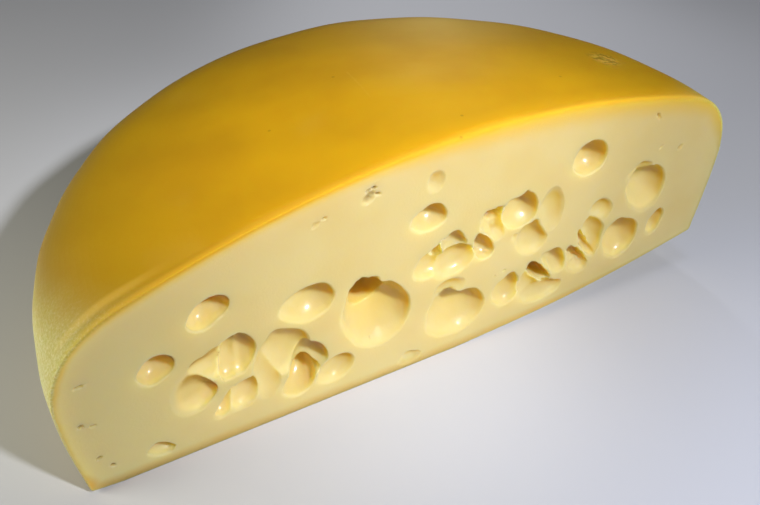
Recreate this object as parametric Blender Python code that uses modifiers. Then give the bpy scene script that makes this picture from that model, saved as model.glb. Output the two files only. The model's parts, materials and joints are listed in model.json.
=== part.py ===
"""Half a wheel of cheese with eyes, lying on its underside with the cut face towards -Y.

Metres, +Z up. The origin is on the ground under the middle of the half wheel: X runs along
the cut, Y runs from the cut face back to the rind, and Z goes up through the wheel.

The whole wheel is turned from one profile, laid down at the small tilt that its bulged
underside gives it, flattened where it lies on the ground and sawn in half. The eyes that
the cut has opened are then taken out of the cut face, each as part of an egg-shaped hollow.
"""
import math

import bpy
from mathutils import Matrix, Vector
from mathutils.geometry import interpolate_bezier

MM = 0.001

# The wheel, in millimetres.
RADIUS = 200.0            # at the widest place of the side
CROWN_HEIGHT = 151.2      # middle of the domed top above the lowest point of the underside
BELLY_HEIGHT = 74.0       # height of the widest place
BREAK_RADIUS = 160.0      # where the dome of the top starts to turn down into the side
BREAK_HEIGHT = 124.5
FOOT_RADIUS = 194.4       # lower edge, between the side and the underside
FOOT_HEIGHT = 13.6
FOOT_ROUNDING = 3.5       # how far the rounding of that edge reaches up and in
FOOT_LEAN = 0.3           # its upper end stands this much further out
FOOT_DROP = 0.6           # and its lower end this much lower
SOLE_RADIUS = 60.0        # the underside is flat this far from the middle

# The handles that bend the profile's arcs, as radius and height.
CROWN_HANDLE = (75.0, CROWN_HEIGHT)
BREAK_HANDLES = ((128.0, 134.5), (184.0, 117.0))
BELLY_HANDLES = ((RADIUS, 101.0), (RADIUS, 56.0))
SIDE_HANDLE = (197.4, 36.0)
SOLE_HANDLES = ((157.0, 7.2), (110.0, 0.0))
DOME_STEPS = 6            # how many facets each arc is made of
SHOULDER_STEPS = 7
SIDE_STEPS = 4
FOOT_STEPS = 3
UNDERSIDE_STEPS = 4
TURN_STEPS = 80           # facets round the whole wheel
MERGE_DISTANCE = 0.0001   # metres; joins the turned profile's first and last copy

# How it lies.
TILT = math.radians(3.2)  # the -X end lies lower, because the underside bulges
SETTLE = 1.0              # how far its own weight presses the underside flat
BLADE = 0.4               # the cut passes this far behind the wheel's axis
CUT_Y = -(RADIUS - BLADE) / 2            # the cut face; the rind's back is as far behind
AXIS_X = BELLY_HEIGHT * math.sin(TILT)   # centres the tilted wheel over the origin

# The eyes, measured on the cut face in millimetres: how far along from the wheel's middle,
# how far up from the ground, half the opening's length and width, the lean of its length
# in degrees from +X, how deep it goes, and its belly. A belly of 0 is half an egg, one above
# 0 is more than half, so the hollow is wider inside than its opening, and one below 0 is a
# shallow dish.
EYES = {
    "left_high": (-129.5, 94.0, 11.3, 8.5, 42, 10.0, 0.05),
    "left_middle": (-156.0, 69.0, 9.7, 8.8, 40, 8.5, 0.05),
    "left_low": (-158.0, 14.2, 7.2, 4.4, -35, 4.0, 0.10),
    "left_pair_lower": (-139.5, 43.5, 15.5, 11.5, 112, 7.5, -0.40),
    "left_pair_shelf": (-130.5, 59.5, 10.5, 8.0, 70, 7.5, -0.10),
    "left_pair_left": (-119.5, 59.5, 14.3, 6.8, 106, 10.0, 0.10),
    "left_pair_right": (-112.3, 57.5, 13.2, 6.2, 106, 9.5, 0.10),
    "twin_left": (-124.0, 28.7, 10.2, 4.7, 68, 6.5, 0.10),
    "twin_right": (-113.0, 30.0, 10.7, 7.2, 98, 7.5, 0.00),
    "cluster_top": (-91.5, 51.5, 16.0, 14.2, 150, 8.0, -0.20),
    "cluster_left": (-100.5, 40.0, 20.0, 6.8, 91, 5.5, -0.25),
    "cluster_middle": (-89.0, 38.0, 20.0, 11.0, 96, 10.0, -0.05),
    "cluster_right": (-77.5, 37.0, 14.0, 10.8, 118, 9.5, -0.10),
    "cluster_deep": (-81.0, 24.0, 11.2, 9.3, 120, 18.0, 0.20),
    "cluster_tail": (-61.5, 22.8, 11.6, 9.3, 12, 7.0, -0.10),
    "middle_high": (-79.0, 77.2, 15.7, 11.4, 2, 11.0, -0.20),
    "great": (-38.4, 51.8, 25.0, 19.4, 110, 16.5, -0.25),
    "great_pocket": (-47.3, 74.4, 9.6, 7.9, 0, 22.0, 0.35),
    "wide": (14.3, 31.5, 19.8, 16.8, -14, 12.5, -0.30),
    "wide_rim": (8.0, 49.6, 10.0, 8.8, 0, 2.6, -0.70),
    "bottom_slit": (-13.5, 7.6, 7.0, 4.6, -15, 2.4, -0.50),
    "top_dish": (-10.6, 128.5, 6.8, 4.9, 96, 2.2, -0.55),
    "top_round": (-12.0, 106.8, 10.6, 8.2, -8, 10.0, 0.00),
    "nest_left": (-9.3, 75.5, 10.2, 8.0, 100, 6.5, -0.05),
    "nest_slit": (-4.3, 80.8, 8.6, 3.4, 66, 10.0, 0.20),
    "nest_upper": (6.5, 82.8, 9.4, 8.3, 100, 6.0, -0.05),
    "nest_lower": (8.5, 70.0, 12.6, 9.8, 5, 7.0, -0.30),
    "nest_right": (25.8, 74.5, 11.6, 6.2, -58, 8.0, 0.20),
    "nest_top": (28.6, 87.5, 12.0, 7.6, -72, 7.5, 0.00),
    "nest_top_deep": (31.2, 86.0, 7.2, 5.0, -75, 12.0, 0.20),
    "ridge_upper": (47.6, 90.6, 13.4, 9.4, -48, 11.0, 0.15),
    "ridge_lower": (59.0, 68.2, 14.2, 8.8, -52, 7.0, -0.10),
    "ridge_nick": (46.5, 72.5, 2.9, 1.8, 10, 1.6, 0.00),
    "ridge_dish": (70.3, 83.0, 16.8, 7.0, 108, 4.0, -0.55),
    "right_high": (89.4, 111.3, 12.2, 10.9, -42, 12.5, 0.05),
    "right_broad": (138.6, 74.0, 19.3, 14.2, -56, 9.0, -0.30),
    "right_rim": (131.0, 86.8, 9.8, 8.6, 0, 3.0, -0.55),
    "right_dish": (107.0, 68.5, 10.3, 8.6, -40, 3.8, -0.45),
    "fan_upper": (106.0, 51.5, 15.5, 6.6, -58, 4.5, -0.20),
    "fan_middle": (99.2, 45.5, 14.0, 3.8, -57, 6.0, 0.05),
    "fan_lower": (99.0, 35.5, 11.6, 7.2, -45, 9.0, 0.15),
    "right_round": (129.8, 40.8, 17.2, 12.2, -61, 11.0, -0.05),
    "right_small": (157.3, 43.0, 10.4, 5.6, 82, 6.5, 0.10),
    "low_upper": (79.4, 40.2, 13.2, 8.4, -50, 7.0, 0.00),
    "low_deep": (70.2, 37.6, 13.2, 5.4, -48, 15.0, 0.30),
    "low_left": (62.5, 31.0, 13.0, 5.2, -68, 5.5, -0.05),
    "low_floor": (75.0, 20.8, 14.5, 7.6, -4, 4.6, -0.20),
    "middle_low": (47.6, 33.0, 12.2, 9.2, -68, 7.5, 0.05),
}
LARGE_EYE = 12.0          # from this half length an eye gets the finer facets
FINE_FACETS = (18, 10)    # segments and rings of a large eye's hollow
COARSE_FACETS = (12, 8)   # and of a small one's

PASTE_COLOUR = (0.78, 0.62, 0.28, 1.0)
PASTE_ROUGHNESS = 0.45
BOX_REACH = 3 * RADIUS    # the cutting boxes are larger than the wheel


def clear_scene():
    """Remove every object, so that the model stands alone."""
    for old in list(bpy.data.objects):
        bpy.data.objects.remove(old, do_unlink=True)


def new_collection(name):
    """Add a collection to the scene."""
    collection = bpy.data.collections.new(name)
    bpy.context.scene.collection.children.link(collection)
    return collection


def move_to(collection, thing):
    """Keep an object in one collection only."""
    for holder in list(thing.users_collection):
        holder.objects.unlink(thing)
    collection.objects.link(thing)


def as_cutter(thing, collection):
    """Hide an object that only shapes the cheese."""
    move_to(collection, thing)
    thing.hide_render = True
    thing.display_type = "WIRE"
    return thing


def bezier(start, start_handle, end_handle, end, count):
    """Points of one Bezier arc, given as (radius, height) pairs, without its last point."""
    corners = [Vector((x, 0.0, z)) for x, z in (start, start_handle, end_handle, end)]
    return interpolate_bezier(*corners, count + 1)[:-1]


def wheel_profile():
    """The wheel's outline from the crown, down the side, to the middle of the underside."""
    crown = (0.0, CROWN_HEIGHT)
    turn = (BREAK_RADIUS, BREAK_HEIGHT)
    belly = (RADIUS, BELLY_HEIGHT)
    foot = (FOOT_RADIUS, FOOT_HEIGHT)
    foot_top = (FOOT_RADIUS + FOOT_LEAN, FOOT_HEIGHT + FOOT_ROUNDING)
    foot_bottom = (FOOT_RADIUS - FOOT_ROUNDING, FOOT_HEIGHT - FOOT_DROP)
    sole = (SOLE_RADIUS, 0.0)
    points = bezier(crown, CROWN_HANDLE, BREAK_HANDLES[0], turn, DOME_STEPS)
    points += bezier(turn, BREAK_HANDLES[1], BELLY_HANDLES[0], belly, SHOULDER_STEPS)
    points += bezier(belly, BELLY_HANDLES[1], SIDE_HANDLE, foot_top, SIDE_STEPS)
    points += bezier(foot_top, foot, foot, foot_bottom, FOOT_STEPS)
    points += bezier(foot_bottom, *SOLE_HANDLES, sole, UNDERSIDE_STEPS)
    points += [Vector((SOLE_RADIUS, 0.0, 0.0)), Vector((0.0, 0.0, 0.0))]
    return [point * MM for point in points]


def turned_wheel(name, collection):
    """The whole wheel: the profile turned round the wheel's axis."""
    points = wheel_profile()
    mesh = bpy.data.meshes.new(name)
    mesh.from_pydata(points, [(i, i + 1) for i in range(len(points) - 1)], [])
    wheel = bpy.data.objects.new(name, mesh)
    collection.objects.link(wheel)
    wheel.location = (AXIS_X * MM, (CUT_Y - BLADE) * MM, -SETTLE * MM)
    wheel.rotation_euler = (0.0, -TILT, 0.0)
    screw = wheel.modifiers.new("turn", "SCREW")
    screw.axis = "Z"
    screw.angle = math.tau
    screw.steps = TURN_STEPS
    screw.render_steps = TURN_STEPS
    screw.use_merge_vertices = True
    screw.merge_threshold = MERGE_DISTANCE
    return wheel


def box_cutter(name, centre, collection):
    """A large box whose middle is given in millimetres."""
    bpy.ops.mesh.primitive_cube_add(size=BOX_REACH * MM, location=Vector(centre) * MM)
    box = bpy.context.object
    box.name = name
    return as_cutter(box, collection)


def eye_cutter(name, eye, collection):
    """The egg whose part behind the cut face is one eye."""
    along, up, half_length, half_width, lean, depth, belly = eye
    segments, rings = FINE_FACETS if half_length >= LARGE_EYE else COARSE_FACETS
    bpy.ops.mesh.primitive_uv_sphere_add(segments=segments, ring_count=rings, radius=1.0)
    egg = bpy.context.object
    egg.name = "eye_" + name
    reach = depth / (1.0 + belly)             # half the egg's size into the cheese
    swell = 1.0 / math.sqrt(1.0 - belly * belly)
    size = (half_length * swell * MM, half_width * swell * MM, reach * MM)
    middle = Vector((AXIS_X + along, CUT_Y + belly * reach, up)) * MM
    upright = Matrix.Rotation(math.radians(90.0), 4, "X")       # the egg's Z goes along -Y
    turn = Matrix.Rotation(math.radians(-lean), 4, "Y")
    egg.data.transform(turn @ upright @ Matrix.Diagonal((*size, 1.0)))
    egg.location = middle
    return as_cutter(egg, collection)


def cut_with(thing, name, cutter=None, cutters=None):
    """Take one cutter, or every cutter in a collection, out of an object."""
    boolean = thing.modifiers.new(name, "BOOLEAN")
    boolean.operation = "DIFFERENCE"
    boolean.solver = "EXACT"
    if cutters is None:
        boolean.object = cutter
    else:
        boolean.operand_type = "COLLECTION"
        boolean.collection = cutters


def paste_material():
    """The pale yellow of the cheese."""
    material = bpy.data.materials.new("cheese")
    material.use_nodes = True
    shader = material.node_tree.nodes["Principled BSDF"]
    shader.inputs["Base Color"].default_value = PASTE_COLOUR
    shader.inputs["Roughness"].default_value = PASTE_ROUGHNESS
    shader.inputs["Metallic"].default_value = 0.0
    return material


def main():
    clear_scene()
    model = new_collection("half_wheel_of_cheese")
    cutters = new_collection("cutters")
    eyes = new_collection("eyes")

    wheel = turned_wheel("cheese_half", model)
    front = box_cutter("front_half", (0.0, CUT_Y - BOX_REACH / 2, 0.0), cutters)
    ground = box_cutter("ground", (0.0, 0.0, -BOX_REACH / 2), cutters)
    cut_with(wheel, "saw_in_half", front)
    cut_with(wheel, "flatten_underside", ground)
    for name, eye in EYES.items():
        eye_cutter(name, eye, eyes)
    cut_with(wheel, "open_the_eyes", cutters=eyes)
    wheel.data.materials.append(paste_material())


main()
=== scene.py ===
# %% [markdown]
# # Half a wheel of cheese, step by step
#
# The object is one half of a firm cheese wheel, sawn through the middle and lying on its
# underside. Three surfaces make it what it is: a smooth golden rind over the dome, a paler
# bloomed rind round the side, and a flat cut face full of glossy round eyes. The frame
# brings the measured solid. It stays as the ground truth for size, and the pieces made
# here are dressed onto it in the same metres.

# %% Load the measured frame
import json
import math

import bmesh
import bpy
import numpy as np
from mathutils import Matrix, Vector, noise
from mathutils.geometry import interpolate_bezier

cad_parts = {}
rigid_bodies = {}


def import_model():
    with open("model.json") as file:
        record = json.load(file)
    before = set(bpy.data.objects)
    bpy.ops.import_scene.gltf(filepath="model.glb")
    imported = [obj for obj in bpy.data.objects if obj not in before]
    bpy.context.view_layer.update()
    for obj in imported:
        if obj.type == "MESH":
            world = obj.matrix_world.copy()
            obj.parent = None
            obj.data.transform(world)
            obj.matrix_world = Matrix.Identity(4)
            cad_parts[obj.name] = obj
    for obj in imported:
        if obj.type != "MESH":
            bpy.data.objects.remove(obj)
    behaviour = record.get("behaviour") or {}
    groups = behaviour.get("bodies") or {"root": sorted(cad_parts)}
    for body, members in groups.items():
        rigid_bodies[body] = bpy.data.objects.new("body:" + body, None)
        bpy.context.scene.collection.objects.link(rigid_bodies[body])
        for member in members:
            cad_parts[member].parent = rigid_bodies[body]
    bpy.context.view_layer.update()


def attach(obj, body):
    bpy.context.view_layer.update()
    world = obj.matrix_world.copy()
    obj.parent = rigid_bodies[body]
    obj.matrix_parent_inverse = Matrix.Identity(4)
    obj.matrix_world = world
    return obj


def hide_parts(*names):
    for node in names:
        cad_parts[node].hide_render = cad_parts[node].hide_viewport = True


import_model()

MM = 0.001

# %% [markdown]
# ## Camera
#
# The photograph looks down on the cut face from the left and from quite near, so the near
# end looms and the far end shrinks. That strong perspective is part of the likeness. The
# camera is set by a direction, a distance and a roll about the point it looks at, which
# are easier to read and adjust than a matrix.

# %% Camera at the photograph's viewpoint
CAMERA_AZIMUTH = math.radians(-33.57)     # 0 looks straight at the cut face
CAMERA_HEIGHT_ANGLE = math.radians(41.17)
CAMERA_ROLL = math.radians(4.71)
CAMERA_DISTANCE = 568.5 * MM
CAMERA_TARGET = Vector((3.7, -40.6, 32.9)) * MM
CAMERA_LENS = 46.23                       # millimetres, on a 36 mm wide sensor


def add_object(name, data):
    """Put a new object with some data into the scene."""
    thing = bpy.data.objects.new(name, data)
    bpy.context.scene.collection.objects.link(thing)
    return thing


def place_camera():
    """Put the camera on its line of sight, looking at its target."""
    data = bpy.data.cameras.new("camera")
    data.sensor_width = 36.0
    data.lens = CAMERA_LENS
    data.clip_start = 0.01
    camera = add_object("camera", data)
    flat = math.cos(CAMERA_HEIGHT_ANGLE)
    backwards = Vector((math.sin(CAMERA_AZIMUTH) * flat,
                        -math.cos(CAMERA_AZIMUTH) * flat,
                        math.sin(CAMERA_HEIGHT_ANGLE)))
    aim = backwards.to_track_quat("Z", "Y").to_matrix().to_4x4()
    camera.matrix_world = (Matrix.Translation(CAMERA_TARGET + backwards * CAMERA_DISTANCE)
                           @ aim @ Matrix.Rotation(CAMERA_ROLL, 4, "Z"))
    bpy.context.scene.camera = camera
    return camera


camera = place_camera()
print("camera at, mm:", [round(v / MM) for v in camera.matrix_world.translation])

# %% [markdown]
# ## Light and ground
#
# The shadow at the left end has a crisp edge, and tracing it back gives a rather small lamp
# a good metre away, in front and above, a little to the right. It makes a bright core on
# the cut face with a wider spill around it, so the light falls off towards both ends. The
# shadow isn't black: a reflector at the left lights the rind of that end and the ground
# beside it, and a faint even light fills the rest. Three weaker lamps finish it. One behind
# brightens the ground at the right, one low behind lays the pale sheen on the dome, and one
# stands above the cut plane, so it lights the ground in front without flattening the eyes.
# The ground is a plain pale sheet. It is only a stage and isn't part of the cheese.

# %% Lamps, reflector, fill and ground
# Each spot's place and aim in millimetres, its cone in degrees, its power and its colour.
SPOTS = {
    "core": ((165, -828, 958), (-13, -100, 108), 17, 39.0, (1.0, 1.0, 1.0)),
    "spill": ((165, -828, 958), (225, -60, 60), 74, 41.5, (1.0, 1.0, 1.0)),
    "back": ((300, 600, 450), (235, 190, 20), 52, 3.8, (1.0, 1.0, 1.0)),
    "sheen": ((552, 730, 251), (52, -10, 141), 17, 2.0, (1.0, 0.92, 0.45)),
    "front": ((170, -90, 950), (150, -500, 0), 54, 15.0, (0.62, 0.71, 1.0)),
}
SPOT_RADIUS = 45.0 * MM
REFLECTOR_PLACE = (-640, 80, 260)
REFLECTOR_AIM = (-220, 20, 0)
REFLECTOR = {"energy": 2.3, "color": (1.0, 0.96, 0.78), "shape": "DISK", "size": 300.0 * MM}
FILL_COLOUR = (1.0, 0.93, 0.75, 1.0)
FILL_STRENGTH = 0.02
GROUND_SIZE = 6.0
GROUND_COLOUR = (0.585, 0.6, 0.665, 1.0)
GROUND_ROUGHNESS = 0.6


def place_lamp(name, kind, place, aim, settings):
    """A lamp of the given kind, turned from its place to its aim, both in millimetres."""
    data = bpy.data.lights.new(name, kind)
    for setting, value in settings.items():
        setattr(data, setting, value)
    place, aim = Vector(place) * MM, Vector(aim) * MM
    turn = (place - aim).to_track_quat("Z", "Y").to_matrix().to_4x4()
    add_object(name, data).matrix_world = Matrix.Translation(place) @ turn


def set_fill_light():
    """An even, faint light from all round."""
    world = bpy.data.worlds.new("fill")
    world.use_nodes = True
    background = world.node_tree.nodes["Background"]
    background.inputs["Color"].default_value = FILL_COLOUR
    background.inputs["Strength"].default_value = FILL_STRENGTH
    bpy.context.scene.world = world


def as_object(shape, name):
    """Turn a bmesh into an object in the scene."""
    mesh = bpy.data.meshes.new(name)
    shape.to_mesh(mesh)
    shape.free()
    return add_object(name, mesh)


def make_ground():
    """A pale sheet at height 0."""
    shape = bmesh.new()
    bmesh.ops.create_grid(shape, x_segments=1, y_segments=1, size=GROUND_SIZE / 2)
    ground = as_object(shape, "ground")
    material = bpy.data.materials.new("ground")
    material.use_nodes = True
    shader = material.node_tree.nodes["Principled BSDF"]
    shader.inputs["Base Color"].default_value = GROUND_COLOUR
    shader.inputs["Roughness"].default_value = GROUND_ROUGHNESS
    ground.data.materials.append(material)


bpy.context.scene.view_settings.view_transform = "Standard"
for name, (place, aim, cone, power, tint) in SPOTS.items():
    place_lamp(name, "SPOT", place, aim,
               {"energy": power, "color": tint, "spot_size": math.radians(cone),
                "spot_blend": 1.0, "shadow_soft_size": SPOT_RADIUS})
place_lamp("side", "AREA", REFLECTOR_PLACE, REFLECTOR_AIM, REFLECTOR)
set_fill_light()
make_ground()
print(len(SPOTS), "spots and a reflector placed")

# %% [markdown]
# ## The wheel
#
# A cheese wheel is a turned shape, so it starts as one outline that is spun round. The
# outline is four Bezier arcs: the dome, the shoulder, the bulged side and the sagging
# underside. The wheel then lies down at a small tilt, the ground flattens what would sink
# into it, and one straight cut takes the front half away.

# %% The wheel's measures
RADIUS = 200.0
CROWN_HEIGHT = 151.2
BELLY_HEIGHT = 74.0
BREAK_RADIUS = 160.0
BREAK_HEIGHT = 124.5
FOOT_RADIUS = 194.4
FOOT_HEIGHT = 13.6
FOOT_ROUNDING = 3.5
SOLE_RADIUS = 60.0
TILT = math.radians(3.2)
SETTLE = 1.0
BLADE = 0.4
CUT_Y = -(RADIUS - BLADE) / 2
AXIS_X = BELLY_HEIGHT * math.sin(TILT)
AXIS_PLACE = Vector((AXIS_X, CUT_Y - BLADE, -SETTLE)) * MM
LIE_DOWN = Matrix.Translation(AXIS_PLACE) @ Matrix.Rotation(-TILT, 4, "Y")


def arc(start, start_handle, end_handle, end, count):
    """Points of a Bezier arc between two (radius, height) pairs, without its last point."""
    corners = [Vector((x, 0.0, z)) for x, z in (start, start_handle, end_handle, end)]
    return interpolate_bezier(*corners, count + 1)[:-1]


def wheel_outline(fineness=1):
    """The outline from the crown to the middle of the underside, as three named stretches."""
    turn = (BREAK_RADIUS, BREAK_HEIGHT)
    belly = (RADIUS, BELLY_HEIGHT)
    foot = (FOOT_RADIUS, FOOT_HEIGHT)
    foot_top = (FOOT_RADIUS + 0.3, FOOT_HEIGHT + FOOT_ROUNDING)
    foot_bottom = (FOOT_RADIUS - FOOT_ROUNDING, FOOT_HEIGHT - 0.6)
    sole = (SOLE_RADIUS, 0.0)
    dome = arc((0.0, CROWN_HEIGHT), (75.0, CROWN_HEIGHT), (128.0, 134.5), turn, 6 * fineness)
    dome += arc(turn, (184.0, 117.0), (200.0, 101.0), belly, 7 * fineness)
    side = arc(belly, (RADIUS, 56.0), (197.4, 36.0), foot_top, 4 * fineness)
    side += arc(foot_top, foot, foot, foot_bottom, 3 * fineness)
    underside = arc(foot_bottom, (157.0, 7.2), (110.0, 0.0), sole, 4 * fineness)
    underside += [Vector((SOLE_RADIUS, 0.0, 0.0)), Vector((0.0, 0.0, 0.0))]
    return dome, side, underside


print("cut face at y =", round(CUT_Y, 1), "mm, axis at x =", round(AXIS_X, 1), "mm")

# %% Spin the outline, lay the wheel down and halve it
OUTLINE_FINENESS = 3
SPIN_STEPS = 240


def close_flat(shape, point, normal):
    """Cut a shape by a plane, drop the side the normal points to and close the cut."""
    everything = shape.verts[:] + shape.edges[:] + shape.faces[:]
    cut = bmesh.ops.bisect_plane(shape, geom=everything, dist=1e-7, plane_co=point,
                                 plane_no=normal, clear_outer=True)
    rim = [part for part in cut["geom_cut"] if isinstance(part, bmesh.types.BMEdge)]
    bmesh.ops.edgeloop_fill(shape, edges=rim)


def half_wheel():
    """The plain half wheel, one closed body."""
    points = [point * MM for stretch in wheel_outline(OUTLINE_FINENESS) for point in stretch]
    shape = bmesh.new()
    corners = [shape.verts.new(point) for point in points]
    rail = [shape.edges.new(pair) for pair in zip(corners, corners[1:])]
    bmesh.ops.spin(shape, geom=corners + rail, cent=(0.0, 0.0, 0.0), axis=(0.0, 0.0, 1.0),
                   angle=math.tau, steps=SPIN_STEPS, use_merge=True)
    bmesh.ops.remove_doubles(shape, verts=shape.verts[:], dist=1e-6)
    bmesh.ops.recalc_face_normals(shape, faces=shape.faces[:])
    bmesh.ops.transform(shape, matrix=LIE_DOWN, verts=shape.verts[:])
    close_flat(shape, Vector((0.0, CUT_Y, 0.0)) * MM, Vector((0.0, -1.0, 0.0)))
    close_flat(shape, Vector((0.0, 0.0, 0.0)), Vector((0.0, 0.0, -1.0)))
    bmesh.ops.recalc_face_normals(shape, faces=shape.faces[:])
    return shape


cheese = as_object(half_wheel(), "cheese_half_dressed")
print("plain half wheel:", len(cheese.data.polygons), "faces")

# %% [markdown]
# ## The eyes
#
# An eye is a gas bubble that the cut has opened. What shows is the part of the bubble
# behind the cut face. A bubble cut near its middle has steep walls, one cut near its end is
# a shallow dish, and neighbours that ran together leave a ridge between them. Working
# with whole bubbles and a Boolean cut gives all three for free. A few eyes are plain eggs.
# The rest have a rim of their own, drawn as a few points on the cut face, closer together
# where the paste tore, because no two eyes have the same outline.

# %% Plain eyes
# Along from the wheel's middle, up from the ground, half the opening's length and width, the
# lean of its length in degrees from +X, depth, belly (0 is half a bubble, above 0 more of it,
# below 0 a dish), in millimetres.
PLAIN_EYES = {
    "top_dish": (-10.6, 128.5, 6.8, 4.9, 96, 2.2, -0.55),
    "right_high": (89.4, 111.3, 12.2, 10.9, -42, 12.5, 0.05),
}

# %% Small tears
# Where the paste broke instead of cutting cleanly: crumbly pits under the dome, slits at the
# left end, a split in the largest eye. The measures are those of the plain eyes.
TEARS = {
    "crumb_dish": (-48.0, 131.6, 4.6, 3.0, 45, 1.7, -0.3),
    "crumb_left": (-48.6, 135.6, 1.6, 1.0, 20, 3.5, 0.0),
    "crumb_top": (-45.6, 136.4, 1.4, 1.0, -10, 4.0, 0.0),
    "crumb_side": (-42.8, 132.0, 2.3, 0.8, -25, 3.5, 0.0),
    "crumb_middle": (-45.8, 132.8, 1.2, 0.8, 60, 3.0, 0.0),
    "pit_dish": (-75.5, 125.4, 3.0, 1.5, 25, 0.9, -0.4),
    "pit_deep": (-71.4, 127.5, 1.2, 0.8, 0, 2.2, 0.0),
    "left_slit_top": (-190.0, 76.0, 3.6, 0.8, 8, 2.6, 0.0),
    "left_slit_middle": (-193.2, 50.2, 1.5, 1.3, 0, 3.6, 0.0),
    "left_slit_side": (-188.0, 47.8, 2.6, 0.8, -6, 2.6, 0.0),
    "left_crumb_low": (-188.2, 24.0, 1.9, 1.1, 30, 3.0, 0.0),
    "left_crumb_lower": (-182.4, 15.2, 1.8, 1.2, -40, 3.0, 0.0),
    "middle_nick": (43.0, 49.3, 1.4, 0.8, 10, 2.0, 0.0),
    "middle_nick_side": (37.2, 48.0, 1.2, 0.7, -20, 1.8, 0.0),
    "right_dent": (158.5, 97.0, 2.4, 1.5, 60, 1.5, -0.2),
    "right_dent_low": (142.5, 102.0, 2.1, 1.1, 40, 1.2, -0.2),
    "right_crack": (133.0, 125.5, 3.8, 0.8, -48, 2.0, 0.0),
    "great_tear": (-39.5, 33.0, 0.6, 1.9, 15, 5.5, 0.0),
    "nest_crumb": (22.5, 80.0, 1.8, 1.2, 60, 7.5, 0.0),
}

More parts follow.
